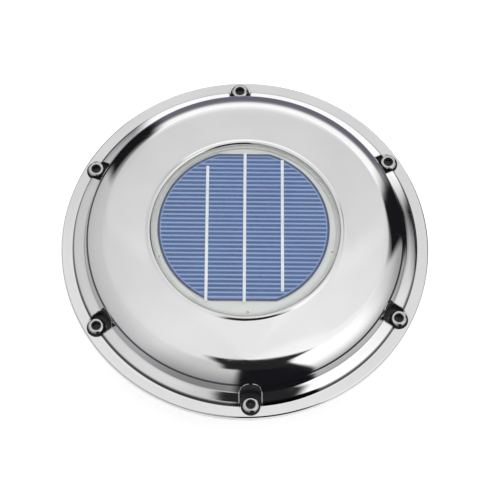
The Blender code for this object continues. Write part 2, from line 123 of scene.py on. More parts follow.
def cleaned(bm):
    bmesh.ops.remove_doubles(bm, verts=bm.verts, dist=0.0005)
    loose = [edge for edge in bm.edges if not edge.link_faces]
    bmesh.ops.delete(bm, geom=loose, context="EDGES")
    bmesh.ops.recalc_face_normals(bm, faces=bm.faces)
    return bm


def placed(name, data):
    made = bpy.data.objects.new(name, data)
    scene.collection.objects.link(made)
    return made


def asObject(name, bm):
    mesh = bpy.data.meshes.new(name)
    cleaned(bm).to_mesh(mesh)
    bm.free()
    return placed(name, mesh)


def spun(name, outline, count, centre=(0.0, 0.0)):
    bm = bmesh.new()
    addSpun(bm, outline, count, centre)
    return asObject(name, bm)


def raised(name, outlines, low, high):
    bm = bmesh.new()
    for outline in outlines:
        addRaised(bm, outline, low, high)
    return asObject(name, bm)


def ring(centre, radius, count):
    turns = [math.tau * k / count for k in range(count)]
    return [(centre[0] + radius * math.cos(t), centre[1] + radius * math.sin(t)) for t in turns]


def ringsAt(angles, reach, radius, count=24):
    return [ring(spotAt(angle, reach), radius, count) for angle in angles]


def bar(angle, inner, outer, half):
    return [spotAt(angle, 0, inner, -half), spotAt(angle, 0, outer, -half),
            spotAt(angle, 0, outer, half), spotAt(angle, 0, inner, half)]


def combine(piece, other, operation="DIFFERENCE"):
    # joins or cuts with a helper that is thrown away afterwards
    modifier = piece.modifiers.new("combine", "BOOLEAN")
    modifier.operation = operation
    modifier.solver = "EXACT"
    modifier.object = other
    settle(piece)
    bpy.data.objects.remove(other, do_unlink=True)


def carve(piece, outlines, low, high, operation="DIFFERENCE"):
    combine(piece, raised("helper", outlines, low, high), operation)


def soften(bm, reach):
    bmesh.ops.bevel(bm, geom=list(bm.edges), offset=reach, offset_type="OFFSET", affect="EDGES",
                    segments=2, profile=0.5, material=-1)


def settle(piece):
    bpy.context.view_layer.update()
    shaped = piece.evaluated_get(bpy.context.evaluated_depsgraph_get())
    mesh = bpy.data.meshes.new_from_object(shaped)
    piece.modifiers.clear()
    piece.data = mesh


def handOver(piece, look, replaces=(), body="housing", slot=None, sharp=35):
    # last step of every piece: to metres, shaded, with its finish, on its body
    slot = slot or "".join("_" + c.lower() if c.isupper() else c for c in look)
    bm = bmesh.new()
    bm.from_mesh(piece.data)
    bmesh.ops.remove_doubles(bm, verts=bm.verts, dist=0.0002)
    bmesh.ops.scale(bm, vec=(mm, mm, mm), verts=bm.verts)
    bm.to_mesh(piece.data)
    bm.free()
    piece.data.shade_smooth()
    piece.data.set_sharp_from_angle(angle=math.radians(sharp))
    piece.data.materials.clear()
    piece.data.materials.append(finishes[look])
    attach(piece, body)
    if replaces:
        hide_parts(*replaces)


def addNode(tree, kind, sockets=None, **fields):
    made = tree.nodes.new(kind)
    for name, value in fields.items():
        setattr(made, name, value)
    for name, value in (sockets or {}).items():
        socket = made.inputs[name]
        if isinstance(value, bpy.types.NodeSocket):
            tree.links.new(value, socket)
        elif socket.type == "RGBA" and len(value) == 3:
            socket.default_value = (*value, 1.0)
        else:
            socket.default_value = value
    return made


def calc(tree, operation, *values):
    return addNode(tree, "ShaderNodeMath", dict(enumerate(values)), operation=operation).outputs[0]


def placeOn(tree):
    return addNode(tree, "ShaderNodeTexCoord").outputs["Object"]


def axesOf(tree, vector):
    return addNode(tree, "ShaderNodeSeparateXYZ", {"Vector": vector}).outputs


def times(tree, first, second):
    return calc(tree, "MULTIPLY", first, second)


def farOut(tree, x, y):
    return calc(tree, "SQRT", calc(tree, "ADD", times(tree, x, x), times(tree, y, y)))


def noiseOn(tree, vector, scale, detail, roughness=0.5):
    return addNode(tree, "ShaderNodeTexNoise", {"Vector": vector, "Scale": scale, "Detail": detail,
                   "Roughness": roughness}).outputs["Fac"]


def fade(tree, value, start, end, low=0.0, high=1.0):
    made = addNode(tree, "ShaderNodeMapRange", {"Value": value, "From Min": start, "From Max": end,
                   "To Min": low, "To Max": high}, interpolation_type="SMOOTHSTEP")
    return made.outputs["Result"]


def between(tree, value, start, end, softStart, softEnd):
    rise = fade(tree, value, start - softStart, start + softStart)
    fall = fade(tree, value, end - softEnd, end + softEnd, 1.0, 0.0)
    return times(tree, rise, fall)


def mixColour(tree, amount, first, second):
    return addNode(tree, "ShaderNodeMix", {0: amount, 6: first, 7: second}, data_type="RGBA").outputs[2]


def splitRays(tree, kind, first, second):
    # the second shader answers this kind of ray and the first one all others
    rays = addNode(tree, "ShaderNodeLightPath").outputs[kind]
    return addNode(tree, "ShaderNodeMixShader", {0: rays, 1: first, 2: second}).outputs[0]


def newGroup(name, output, **inputs):
    # a group of nodes with number inputs: gives these, the place on the object and the way out
    group = bpy.data.node_groups.new(name, "ShaderNodeTree")
    for label, value in inputs.items():
        socket = group.interface.new_socket(label, in_out="INPUT", socket_type="NodeSocketFloat")
        socket.default_value = value
    group.interface.new_socket(output, in_out="OUTPUT", socket_type="NodeSocketFloat")
    given, out = group.nodes.new("NodeGroupInput"), group.nodes.new("NodeGroupOutput")
    place = placeOn(group)
    return group, given.outputs, place, out.inputs[0]


def useGroup(tree, group, **values):
    return addNode(tree, "ShaderNodeGroup", values, node_tree=group).outputs


def makePatches():
    # soft cloudy differences, for colour and gloss
    group, given, place, out = newGroup("patches", "Value", Scale=40.0, Detail=3.0, Low=0.0, High=1.0)
    noise = noiseOn(group, place, given["Scale"], given["Detail"], 0.55)
    spread = addNode(group, "ShaderNodeMapRange", {"Value": noise, "From Min": 0.3, "From Max": 0.7,
                     "To Min": given["Low"], "To Max": given["High"]})
    group.links.new(spread.outputs["Result"], out)
    return group


def makeTurning():
    # fine rings about the object's axis, as a lathe or a polishing wheel leaves them
    group, given, place, out = newGroup("turning_lines", "Height", Rings=900.0, Sweep=3.0)
    x, y, z = axesOf(group, place)
    reach = calc(group, "ADD", farOut(group, x, y), times(group, z, -0.6))
    around = calc(group, "ARCTAN2", y, x)
    joined = addNode(group, "ShaderNodeCombineXYZ", {
        "X": times(group, reach, given["Rings"]),
        "Y": times(group, calc(group, "COSINE", around), given["Sweep"]),
        "Z": times(group, calc(group, "SINE", around), given["Sweep"])})
    group.links.new(noiseOn(group, joined.outputs[0], 1.0, 2.0, 0.6), out)
    return group


def makeScuffs():
    # thin scattered hairlines and specks
    group, given, place, out = newGroup("scuffs", "Mask", Scale=120.0, Amount=0.3)
    masks = []
    for turn, stretch in ((0.5, 14.0), (1.9, 18.0)):
        spin = addNode(group, "ShaderNodeMapping", {"Vector": place, "Rotation": (0.0, 0.0, turn),
                       "Scale": (1.0, stretch, 1.0)})
        masks.append(fade(group, noiseOn(group, spin.outputs[0], given["Scale"], 1.0), 0.66, 0.74))
    total = calc(group, "MAXIMUM", *masks)
    group.links.new(times(group, total, given["Amount"]), out)
    return group


def makeGrain():
    # moulded, cast or foamed surface: a fine height pattern
    group, given, place, out = newGroup("moulded_grain", "Height", Scale=1500.0, Pores=0.0)
    cells = addNode(group, "ShaderNodeTexVoronoi", {"Vector": place, "Scale": given["Scale"]})
    pits = times(group, fade(group, cells.outputs["Distance"], 0.1, 0.5), given["Pores"])
    group.links.new(calc(group, "ADD", noiseOn(group, place, given["Scale"], 3.0), pits), out)
    return group


patches, turningLines = makePatches(), makeTurning()
scuffs, mouldedGrain = makeScuffs(), makeGrain()


def startMaterial(name, **constants):
    made = bpy.data.materials.new(name)
    made.use_nodes = True
    shader = made.node_tree.nodes["Principled BSDF"]
    for label, value in constants.items():
        shader.inputs[label.replace("_", " ")].default_value = value
    return made, made.node_tree, shader


def setColour(tree, shader, light, dark, scale, detail=3.0):
    mask = useGroup(tree, patches, Scale=scale, Detail=detail)["Value"]
    tree.links.new(mixColour(tree, mask, dark, light), shader.inputs["Base Color"])
    return mask


def setGloss(tree, shader, low, high, scale, extra=None):
    value = useGroup(tree, patches, Scale=scale, Low=low, High=high)["Value"]
    if extra is not None:
        value = calc(tree, "ADD", value, extra)
    tree.links.new(value, shader.inputs["Roughness"])


def setBump(tree, shader, height, depth, under=None):
    made = addNode(tree, "ShaderNodeBump", {"Strength": 1.0, "Distance": depth * mm, "Height": height})
    if under is not None:
        tree.links.new(under, made.inputs["Normal"])
    tree.links.new(made.outputs[0], shader.inputs["Normal"])
    return made.outputs[0]


metals = {
    # light, dark, roughness from and to, patch scale, grain scale, grain depth in mm
    "screwSteel": ((0.74, 0.74, 0.73), (0.62, 0.62, 0.61), 0.12, 0.22, 300, 2200, 0.01),
    "zincSteel": ((0.66, 0.68, 0.68), (0.50, 0.53, 0.55), 0.24, 0.38, 160, 1800, 0.012),
    "laminatedSteel": ((0.42, 0.41, 0.41), (0.26, 0.25, 0.25), 0.35, 0.5, 200, 1500, 0.02),
    "brassInsert": ((0.78, 0.58, 0.27), (0.62, 0.44, 0.19), 0.22, 0.36, 260, 1500, 0.02),
    "bronzeBush": ((0.60, 0.42, 0.25), (0.44, 0.29, 0.17), 0.4, 0.55, 300, 2600, 0.03),
    "tinnedCopper": ((0.90, 0.92, 0.95), (0.78, 0.81, 0.85), 0.3, 0.45, 350, 900, 0.015),
}
plastics = {
    # light, dark, roughness from and to, patch scale, grain scale, grain depth in mm, pores
    "whiteAbs": ((0.84, 0.85, 0.83), (0.77, 0.78, 0.75), 0.36, 0.5, 60, 1300, 0.012, 0.0),
    "blackAbs": ((0.040, 0.040, 0.044), (0.024, 0.024, 0.027), 0.36, 0.52, 90, 1400, 0.014, 0.0),
    "blackRubber": ((0.030, 0.030, 0.030), (0.014, 0.014, 0.014), 0.72, 0.92, 160, 900, 0.05, 0.8),
    "whiteSilicone": ((0.82, 0.83, 0.80), (0.74, 0.75, 0.71), 0.45, 0.62, 120, 1200, 0.01, 0.0),
    "ferrite": ((0.085, 0.085, 0.09), (0.05, 0.05, 0.052), 0.6, 0.78, 220, 1700, 0.03, 0.4),
    "redPvc": ((0.70, 0.035, 0.02), (0.52, 0.02, 0.012), 0.32, 0.44, 200, 900, 0.01, 0.0),
    "blackPvc": ((0.028, 0.028, 0.028), (0.014, 0.014, 0.014), 0.32, 0.44, 200, 900, 0.01, 0.0),
    "screenFibre": ((0.30, 0.31, 0.32), (0.20, 0.21, 0.22), 0.42, 0.6, 300, 2500, 0.01, 0.0),
}


def plainFinish(name, look, scuffed, **constants):
    light, dark, low, high, scale, grain, depth, *pores = look
    made, tree, shader = startMaterial(name, **constants)
    setColour(tree, shader, light, dark, scale)
    setGloss(tree, shader, low, high, scale * 2, useGroup(tree, scuffs, **scuffed)["Mask"])
    grains = useGroup(tree, mouldedGrain, Scale=grain, Pores=pores[0] if pores else 0.0)
    setBump(tree, shader, grains["Height"], depth)
    return made


def socketSteel():
    # bright outside, with painted shade down in the socket, where it is also rougher
    made, tree, shader = startMaterial("socketSteel", Metallic=1.0)
    recess = addNode(tree, "ShaderNodeAttribute", attribute_name="recess").outputs["Fac"]
    mask = useGroup(tree, patches, Scale=400.0)["Value"]
    bright = mixColour(tree, mask, (0.44, 0.44, 0.437), (0.54, 0.54, 0.535))
    socketShade = mixColour(tree, mask, (0.022, 0.020, 0.024), (0.055, 0.052, 0.056))
    tree.links.new(mixColour(tree, recess, bright, socketShade), shader.inputs["Base Color"])
    rough = calc(tree, "ADD", fade(tree, recess, 0.0, 1.0, 0.16, 0.4),
                 useGroup(tree, scuffs, Scale=260.0, Amount=0.1)["Mask"])
    tree.links.new(rough, shader.inputs["Roughness"])
    setBump(tree, shader, useGroup(tree, mouldedGrain, Scale=2200.0)["Height"], 0.01)
    return made


def polishedSteel():
    # the last two entries paint shade: the radii of a dark ring in the flange's step, and its colour
    look = {"light": (0.690, 0.690, 0.688), "dark": (0.650, 0.648, 0.650), "gloss": (0.035, 0.075),
            "waves": 0.055, "lines": 0.0012,
            "paintedShadeRing": (100.05, 100.95), "shadeColour": (0.10, 0.10, 0.105)}
    made, tree, shader = startMaterial("polishedSteel", Metallic=1.0)
    mask = useGroup(tree, patches, Scale=26.0)["Value"]
    clean = mixColour(tree, mask, look["dark"], look["light"])
    # a ring of painted shade, darkening the corner of the flange's step
    place = placeOn(tree)
    x, y, _ = axesOf(tree, place)
    start, end = look["paintedShadeRing"]
    paintedShadeRing = between(tree, farOut(tree, x, y), start * mm, end * mm, 0.12 * mm, 0.12 * mm)
    tree.links.new(mixColour(tree, paintedShadeRing, clean, look["shadeColour"]), shader.inputs["Base Color"])
    setGloss(tree, shader, *look["gloss"], 45, useGroup(tree, scuffs, Scale=90.0, Amount=0.05)["Mask"])
    waves = useGroup(tree, patches, Scale=22.0, Detail=1.0)["Value"]
    pressed = setBump(tree, shader, waves, look["waves"])
    rings = useGroup(tree, turningLines, Rings=1400.0, Sweep=2.5)["Height"]
    setBump(tree, shader, rings, look["lines"], under=pressed)
    return made


def copperWire():
    made, tree, shader = startMaterial("copperWire", Metallic=1.0, Coat_Weight=0.6, Coat_Roughness=0.15)
    setColour(tree, shader, (0.80, 0.42, 0.26), (0.58, 0.27, 0.15), 320)
    setGloss(tree, shader, 0.25, 0.38, 200)
    place = placeOn(tree)
    wire = addNode(tree, "ShaderNodeTexWave", {"Vector": place, "Scale": 1100.0, "Distortion": 0.4},
                   bands_direction="Z")
    setBump(tree, shader, wire.outputs["Fac"], 0.12)
    return made


def clearSheet():
    made, tree, shader = startMaterial("clearSheet", Transmission_Weight=1.0, IOR=1.49,
                                       Base_Color=(0.97, 0.985, 0.98, 1.0))
    setGloss(tree, shader, 0.0, 0.02, 60, useGroup(tree, scuffs, Scale=130.0, Amount=0.06)["Mask"])
    # the sheet lets light fall straight through onto the cell
    clear = addNode(tree, "ShaderNodeBsdfTransparent", {"Color": (0.95, 0.965, 0.96, 1.0)})
    both = splitRays(tree, "Is Shadow Ray", shader.outputs[0], clear.outputs[0])
    tree.links.new(both, tree.nodes["Material Output"].inputs["Surface"])
    return made


cellShape = {
    "radius": 49.7, "top": 47.4, "bottom": -45.9,
    "centre": (-1.0, 1.5), "turn": -2.1,     # it lies a little askew in the window
    "fingerPitch": 2.72, "fingerWidth": 0.95, "border": 1.3,
    "ribbons": (("left", -21.8, -46.6, 39.4), ("centre", 0.0, -47.2, 48.1), ("right", 21.8, -40.0, 43.6)),
    "ribbonShift": 0.6, "ribbonWidth": 1.75,
}


def cellSilicon():
    shape = cellShape
    made, tree, shader = startMaterial("cellSilicon", IOR=1.42, Coat_Weight=0.12, Coat_Roughness=0.12)
    place = placeOn(tree)
    moved = addNode(tree, "ShaderNodeMapping", {"Vector": place,
                    "Location": (-shape["centre"][0] * mm, -shape["centre"][1] * mm, 0.0)})
    turned = addNode(tree, "ShaderNodeMapping", {"Vector": moved.outputs[0],
                     "Rotation": (0.0, 0.0, math.radians(-shape["turn"]))})
    x, y, _ = axesOf(tree, turned.outputs[0])
    # pale printed lines across the cell
    row = calc(tree, "FRACT", calc(tree, "ADD", calc(tree, "DIVIDE", y, shape["fingerPitch"] * mm), 100.5))
    fromMiddle = calc(tree, "ABSOLUTE", calc(tree, "SUBTRACT", row, 0.5))
    half = shape["fingerWidth"] / shape["fingerPitch"] / 2
    finger = fade(tree, fromMiddle, half * 0.5, half * 1.5, 1.0, 0.0)
    # the plain rim of the wafer, and the thin printed line just inside it
    fromArc = calc(tree, "SUBTRACT", shape["radius"] * mm, farOut(tree, x, y))
    above = calc(tree, "SUBTRACT", shape["top"] * mm, y)
    below = calc(tree, "SUBTRACT", y, shape["bottom"] * mm)
    edge = calc(tree, "MINIMUM", fromArc, calc(tree, "MINIMUM", above, below))
    inside = fade(tree, edge, (shape["border"] - 0.15) * mm, (shape["border"] + 0.15) * mm)
    frameLine = times(tree, inside, fade(tree, edge, (shape["border"] + 0.45) * mm,
                     (shape["border"] + 0.9) * mm, 1.0, 0.0))
    printed = calc(tree, "MAXIMUM", times(tree, finger, inside), times(tree, frameLine, 0.7))
    # grains of the silicon: flat facets of slightly different blue
    facets = addNode(tree, "ShaderNodeTexVoronoi", {"Vector": turned.outputs[0], "Scale": 130.0})
    grainMask = addNode(tree, "ShaderNodeSeparateColor", {"Color": facets.outputs["Color"]}).outputs[0]
    deep = mixColour(tree, grainMask, (0.006, 0.052, 0.200), (0.016, 0.084, 0.275))
    cloudy = useGroup(tree, patches, Scale=24.0, Detail=2.0)["Value"]
    blue = mixColour(tree, times(tree, cloudy, 0.5), deep, (0.030, 0.066, 0.300))
    lines = mixColour(tree, cloudy, (0.270, 0.430, 0.740), (0.220, 0.380, 0.680))
    colour = mixColour(tree, printed, blue, lines)
    tree.links.new(mixColour(tree, inside, (0.016, 0.030, 0.120), colour), shader.inputs["Base Color"])
    gloss = calc(tree, "ADD", times(tree, printed, 0.15), times(tree, grainMask, 0.08))
    tree.links.new(calc(tree, "ADD", gloss, 0.28), shader.inputs["Roughness"])
    setBump(tree, shader, printed, 0.02)
    return made


finishes = {}
for name, look in metals.items():
    finishes[name] = plainFinish(name, look, {"Scale": 260.0, "Amount": 0.12}, Metallic=1.0)
for name, look in plastics.items():
    finishes[name] = plainFinish(name, look, {"Scale": 180.0, "Amount": 0.06}, IOR=1.5)
for made in (polishedSteel(), socketSteel(), copperWire(), clearSheet(), cellSilicon()):
    finishes[made.name] = made
print("finishes made:", len(finishes))


coverLow, coverHigh = boxOf("cover_shell")
cover = {
    "rim": coverHigh.x, "foot": coverLow.z,
    "skirt": 4.3, "sheet": 0.9, "riser": 101.2, "ledge": 99.6, "wall": 93.8,
    "crease": 82.3, "creaseHeight": 30.8, "crown": 0.00115, "window": 54.6,
    "screwRadius": 100.5, "screwAngles": [30 + 60 * k for k in range(6)],
    "nicheHalf": 6.5, "nicheFloor": 12.05, "nicheTop": 40.0,
    # each end of a niche: centre, reach, first angle, squareness
    "nicheEnds": ((100.5, 5.9, -90, 1.0), (94.7, 2.7, 90, 0.95)),
    "nicheRim": 0.33,      # half the thickness of the rolled edge round each niche
    # the black sheet in each niche, put in as painted shade
    "shadeSheetEnd": 100.4, "shadeSheetWall": 0.4, "shadeSheetDrop": 0.35, "shadeSheetRoom": 5.66,
    "shadeSheetGap": 0.06, "shadeSheetTop": 30.0,
    "lipLow": 33.0, "screwHole": 2.8,
    "studs": (30, 150, 270), "studCircle": 61.5, "studRadius": 1.5, "studEnds": (27.2, 33.9),
}


def crownHeight(radius):
    return cover["creaseHeight"] + cover["crown"] * (cover["crease"] ** 2 - radius ** 2)


def coverSkin(fine):
    # the outer face from the skirt's edge up to the window's lip; fine=1 gives few points
    top = cover["foot"] + cover["skirt"]
    step = top + 2.8
    rim, riser, ledge, wall = cover["rim"], cover["riser"], cover["ledge"], cover["wall"]
    line = [(rim, cover["foot"]), (rim, top - 0.8)]
    line += curveTo(line[-1], (rim, top - 0.3), (rim - 0.3, top), (rim - 0.9, top), 2 * fine)
    line += [(riser + 1.6, top + 0.2), (riser, top + 0.25)]
    line += curveTo(line[-1], (riser - 0.3, top + 0.27), (riser - 0.45, top + 0.4),
                    (riser - 0.52, top + 0.8), fine)
    line += [(ledge + 0.4, step - 0.4)]
    line += curveTo(line[-1], (ledge + 0.28, step), (ledge + 0.1, step + 0.18),
                    (ledge - 0.3, step + 0.32), fine)
    line += [(wall + 2.4, step + 1.2), (wall + 0.9, step + 1.67)]
    line += curveTo(line[-1], (wall + 0.4, step + 1.83), (wall, step + 2.05), (wall - 0.08, step + 2.6), fine)
    wallTop = (wall - 0.9, cover["foot"] + 14.2)
    line += [wallTop]
    crease = (cover["crease"] + 0.5, cover["creaseHeight"] - 0.175)
    line += curveTo(wallTop, (92.15, 26.3), (88.6, 28.6), crease, 6 * fine)
    line += [(cover["crease"] - 0.5, crownHeight(cover["crease"] - 0.5))]
    line += [(r, crownHeight(r)) for r in ([79.0, 75.0, 70.0, 66.0, 62.0, 58.4] if fine > 1 else [70.0])]
    lip = crownHeight(56.4)
    line += curveTo((57.0, crownHeight(57.0)), (56.7, lip + 0.04), (56.3, lip + 0.2),
                    (55.8, lip + 0.2), 2 * fine)
    line += curveTo(line[-1], (55.2, lip + 0.2), (54.8, lip + 0.05), (cover["window"], lip - 0.6), 2 * fine)
    return line


def insetLine(points, depth):
    moved = []
    for i, here in enumerate(points):
        before, after = Vector(points[max(i - 1, 0)]), Vector(points[min(i + 1, len(points) - 1)])
        along = (after - before).normalized()
        moved.append((here[0] - along.y * depth, here[1] + along.x * depth))
    return moved


def underSkin(radius, line, depth=0.0):
    # the point this far below the sheet's outer face
    for (r1, z1), (r2, z2) in zip(line, line[1:]):
        if r2 <= radius <= r1 and r1 > r2:
            lean = Vector((z2 - z1, r1 - r2)).normalized() * depth
            return radius - lean.x, z1 + (z2 - z1) * (r1 - radius) / (r1 - r2) - lean.y
    return radius, line[0][1] - depth


def followSkin(piece, skin):
    # the cuts leave slivers in the sheet, so its shading is taken from the profile itself
    heads = []
    for (r1, z1), (r2, z2) in zip(skin, skin[1:]):
        heads.append(Vector((z2 - z1, 0.0, r1 - r2)).normalized())
    leans = [heads[0]] + [(a + b).normalized() for a, b in zip(heads, heads[1:])] + [heads[-1]]

    def leanAt(point):
        radius = math.hypot(point.x, point.y)
        best, lean = 0.02, None
        for i, ((r1, z1), (r2, z2)) in enumerate(zip(skin, skin[1:])):
            if r2 - 0.01 <= radius <= r1 + 0.01:
                along = Vector((r2 - r1, z2 - z1))
                ahead = Vector((radius - r1, point.z - z1)).dot(along)
                share = max(0.0, min(1.0, ahead / along.length_squared))
                away = math.hypot(r1 + along.x * share - radius, z1 + along.y * share - point.z)
                if away < best:
                    best, lean = away, leans[i].lerp(leans[i + 1], share)
        return lean

    mesh = piece.data
    found = [leanAt(vert.co / mm) for vert in mesh.vertices]
    chosen = [(0.0, 0.0, 0.0)] * len(mesh.loops)
    for face in mesh.polygons:
        for loop in face.loop_indices:
            index = mesh.loops[loop].vertex_index
            lean, spot = found[index], mesh.vertices[index].co
            if lean is None:
                continue
            turn = math.atan2(spot.y, spot.x)
            normal = Vector((lean.x * math.cos(turn), lean.x * math.sin(turn), lean.z))
            if normal.dot(face.normal) > 0.93:
                chosen[loop] = tuple(normal.normalized())
    mesh.normals_split_custom_set(chosen)


def nicheOutline(angle, grow, count=20):
    # straight sides, round the screw at the outer end and a squarer arch at the inner one
    points = []
    for centre, reach, start, power in cover["nicheEnds"]:
        for k in range(count + 1):
            turn = math.radians(start + 180 * k / count)
            parts = (math.cos(turn), math.sin(turn))
            along, aside = (math.copysign(abs(part) ** power, part) for part in parts)
            points.append(spotAt(angle, centre, (reach + grow) * along, (cover["nicheHalf"] + grow) * aside))
    return points


def makeCover():
    skin = coverSkin(6)
    sheet, foot, window = cover["sheet"], cover["foot"], cover["window"]
    shell = spun("polished_cover", skin + [(window, foot)], steps["rim"])
    coarse = coverSkin(1)
    inner = [(cover["rim"] - sheet, foot - 1.0), (cover["rim"] - sheet, foot + cover["skirt"] - sheet)]
    inner += insetLine(coarse[5:-4], sheet)
    inner += [(window + sheet, inner[-1][1]), (window + sheet, cover["lipLow"])]
    inner += [(window - 2.0, cover["lipLow"]), (window - 2.0, foot - 1.0)]
    hollow = spun("cover_hollow", inner, steps["rim"])
    angles = cover["screwAngles"]
    floor, above = cover["nicheFloor"], cover["nicheTop"]
    # metal stays round each niche, so its walls and floor are one sheet thick
    carve(hollow, [nicheOutline(a, sheet) for a in angles], floor - sheet, above + 1)
    carve(shell, [nicheOutline(a, 0) for a in angles], floor, above)
    combine(shell, hollow)
    holes = ringsAt(angles, cover["screwRadius"], cover["screwHole"], steps["small"])
    carve(shell, holes, 5, floor + 0.45)
    studs = ringsAt(cover["studs"], cover["studCircle"], cover["studRadius"])
    carve(shell, studs, *cover["studEnds"], "UNION")
    handOver(shell, "polishedSteel", ["cover_shell"], sharp=28)
    followSkin(shell, skin)
    return skin


def makeNicheRims(skin):
    # the sheet is rolled over along each niche's upper edge; the roll runs out on the flange
    half, rim = cover["nicheHalf"] + 0.05, cover["nicheRim"]
    # closer together where the path climbs the step
    sides = [101.9, 101.4, 101.0, 100.7, 100.4, 100.1, 99.8, 99.4, 98.8, 98.0, 97.2, 96.4, 95.6, 94.8]
    paths = []
    for angle in cover["screwAngles"]:
        arch = nicheOutline(angle, 0.05, 28)[29:]
        line = [spotAt(angle, r, 0, half) for r in sides] + arch
        line += [spotAt(angle, r, 0, -half) for r in sides[::-1]]
        path = []
        for x, y in line:
            radius = math.hypot(x, y)
            deeper = max(0.0, min(1.0, (radius - 101.0) / 0.8))
            moved, height = underSkin(radius, skin, rim * (0.55 + 0.5 * deeper))
            path.append((x * moved / radius, y * moved / radius, height))
        paths.append(path)
    rims = tubes("niche_rims", paths, rim, 3)
    handOver(rims, "polishedSteel")


def tubes(name, paths, radius, fineness):
    # round bars along their paths, as one mesh
    data = bpy.data.curves.new(name, "CURVE")
    data.dimensions = "3D"
    data.bevel_depth = radius
    data.bevel_resolution = fineness
    data.use_fill_caps = True
    for path in paths:
        spline = data.splines.new("POLY")
        spline.points.add(len(path) - 1)
        for point, here in zip(spline.points, path):
            point.co = (*here, 1.0)
    drawn = placed(name, data)
    bpy.context.view_layer.update()
    mesh = bpy.data.meshes.new_from_object(drawn.evaluated_get(bpy.context.evaluated_depsgraph_get()))
    bpy.data.objects.remove(drawn, do_unlink=True)
    return placed(name, mesh)


def makeNicheShadeSheets(skin):
    # a black sheet stands along the inner half of each niche's wall: a dark thing put in as painted shade
    floor, angles, wall = cover["nicheFloor"], cover["screwAngles"], cover["shadeSheetWall"]
    gap, high = cover["shadeSheetGap"], cover["shadeSheetTop"]
    shadeSheets = raised("niche_shade_sheets", [nicheOutline(a, -gap) for a in angles], floor + gap / 2, high)
    carve(shadeSheets, [nicheOutline(a, -gap - wall) for a in angles], floor + gap * 2.5, high + 1)
    room = ringsAt(angles, cover["screwRadius"], cover["shadeSheetRoom"], steps["small"])
    carve(shadeSheets, room, 5, high + 1)
    end, drop = cover["shadeSheetEnd"], cover["shadeSheetDrop"]
    inward = [(r - 0.1, z - drop) for r, z in skin[::2] if 85.0 < r < end]
    limit = [(end, 4.0), (end, underSkin(end, skin)[1] - drop)] + inward + [(inward[-1][0], 4.0)]
    combine(shadeSheets, spun("liner_limit", limit, steps["disc"]), "INTERSECT")
    handOver(shadeSheets, "blackAbs")


skin = makeCover()
makeNicheRims(skin)
makeNicheShadeSheets(skin)
print("cover made")


screw = {"flat": 2.95, "recess": 0.6, "inner": 2.6, "socket": 2.31, "socketDepth": 2.05, "height": 2.75,
         "shank": 2.4, "washer": 2.7}


def markRecess(piece, centre, level):
    # tells the finish which points lie down in the socket, where it paints shade
    field = piece.data.attributes.new("recess", "FLOAT", "POINT")
    for point, item in zip(piece.data.vertices, field.data):
        away = math.hypot(point.co.x - centre[0], point.co.y - centre[1])
        item.value = 1.0 if away < screw["flat"] - 0.02 and point.co.z < level else 0.0


def makeScrews():
    shape = screw
    for number in range(1, 7):
        low, high = boxOf(f"cover_screw_{number}")
        centre = ((low.x + high.x) / 2, (low.y + high.y) / 2)
        angle = math.degrees(math.atan2(centre[1], centre[0]))
        head, top = (high.x - low.x) / 2, high.z
        under, dish = top - shape["height"], top - shape["recess"]
        outline = [(0, dish), (shape["inner"], dish)]
        outline += curveTo(outline[-1], (shape["inner"], top - 0.3), (shape["inner"] + 0.1, top - 0.05),
                           (shape["flat"], top), 5)
        outline += curveTo((3.4, top), (4.2, top), (head, top - 0.45), (head, top - 1.3), 10)
        outline += [(head, under + 0.25), (head - 0.25, under), (shape["shank"], under)]
        outline += [(shape["shank"], low.z + 0.5), (shape["shank"] - 0.5, low.z), (0, low.z)]
        made = spun(f"socket_screw_{number}", outline, steps["small"], centre)
        corners = [spotAt(angle + 17 * number + 60 * k, shape["socket"]) for k in range(6)]
        hexagon = [(centre[0] + x, centre[1] + y) for x, y in corners]
        carve(made, [hexagon], top - shape["socketDepth"], top + 2)
        markRecess(made, centre, top - 0.02)
        handOver(made, "socketSteel", [f"cover_screw_{number}"], slot="screw_steel")
        under, over = boxOf(f"screw_washer_{number}")
        inner, outer = shape["washer"], (over.x - under.x) / 2
        section = roundCorners([(inner, over.z), (outer, over.z), (outer, under.z), (inner, under.z)], 0.18)
        washer = spun(f"sealing_washer_{number}", section, steps["small"], centre)
        handOver(washer, "blackRubber", [f"screw_washer_{number}"])


makeScrews()
print("screws made")


lensLow, lensHigh = boxOf("window_lens")
window = {
    "lensRadius": lensHigh.x, "sealInner": 52.5, "sealOuter": 59.6, "sealLip": 56.0, "sealLedge": 32.7,
    "bead": (54.26, 54.54), "backingRadius": 53.9,
    "tabs": ((-50.3, -15.2), (49.6, -15.2)), "tabHalf": (0.9, 0.5), "eyelet": (-0.3, -51.3),
    "leadHoles": ((7, 9), (-7, -9)), "leadHole": 1.2,
}


